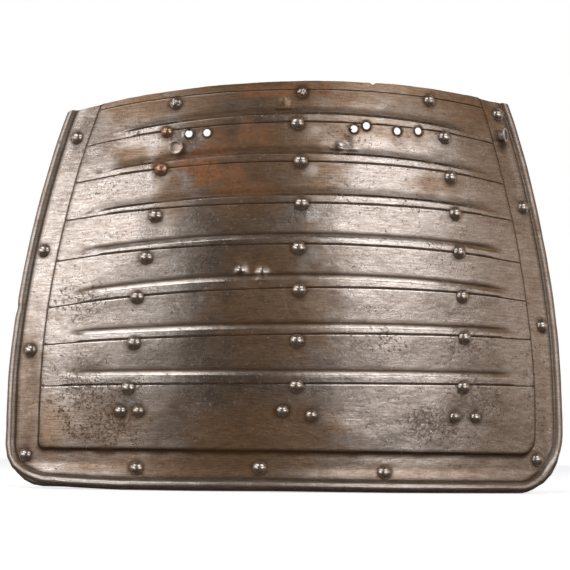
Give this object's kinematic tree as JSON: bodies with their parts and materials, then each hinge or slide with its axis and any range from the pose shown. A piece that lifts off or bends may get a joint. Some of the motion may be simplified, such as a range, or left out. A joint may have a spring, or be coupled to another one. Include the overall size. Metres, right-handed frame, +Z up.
{
  "type": "tasset",
  "caption": "Curved steel thigh plate of a foot soldier's armour, embossed and engraved as overlapping lames, with domed rivets, sunken border and rolled edge.",
  "frame": {"origin": "floor level under the plate, in the middle of its length and depth, with the plate standing on its lower rolled edge", "axes": "+X across the plate to the viewer's right, outer face towards -Y, +Z up towards the edge that hangs from the breastplate"},
  "size_m": [0.3444, 0.0638, 0.2462],
  "materials": {
    "plate_steel": "old browned steel, brushed across, bright where polished, with pits and rust",
    "rivet_steel": "polished domed heads, dull at the foot",
    "rusted_steel": "rust-stained steel",
    "edge_iron": "dull iron wire"
  },
  "bodies": {
    "root": {"tasset_plate": "plate_steel", "edge_wire": "edge_iron", "left_rivet_1": "rivet_steel", "left_rivet_2": "rusted_steel", "left_rivet_3": "rusted_steel", "left_rivet_4": "rivet_steel", "left_rivet_5": "rivet_steel", "left_rivet_6": "rivet_steel", "left_rivet_7": "rivet_steel", "left_rivet_8": "rivet_steel", "centre_rivet_1": "rivet_steel", "centre_rivet_2": "rivet_steel", "centre_rivet_3": "rivet_steel", "centre_rivet_4": "rivet_steel", "centre_rivet_5": "rivet_steel", "centre_rivet_6": "rivet_steel", "centre_rivet_7": "rivet_steel", "centre_rivet_8": "rivet_steel", "right_rivet_1": "rivet_steel", "right_rivet_2": "rivet_steel", "right_rivet_3": "rivet_steel", "right_rivet_4": "rivet_steel", "right_rivet_5": "rivet_steel", "right_rivet_6": "rivet_steel", "right_rivet_7": "rivet_steel", "right_rivet_8": "rivet_steel", "lower_rivet_1": "rivet_steel", "lower_rivet_2": "rivet_steel", "lower_rivet_3": "rivet_steel", "lower_rivet_4": "rivet_steel", "lower_rivet_5": "rivet_steel", "lower_rivet_6": "rivet_steel", "border_rivet_1": "rivet_steel", "border_rivet_2": "rivet_steel", "border_rivet_3": "rivet_steel", "border_rivet_4": "rivet_steel", "border_rivet_5": "rivet_steel", "border_rivet_6": "rivet_steel", "border_rivet_7": "rivet_steel", "border_rivet_8": "rivet_steel", "border_rivet_9": "rivet_steel", "border_rivet_10": "rivet_steel", "border_rivet_11": "rivet_steel", "left_stud": "rivet_steel", "right_stud": "rivet_steel"}
  },
  "joints": []
}
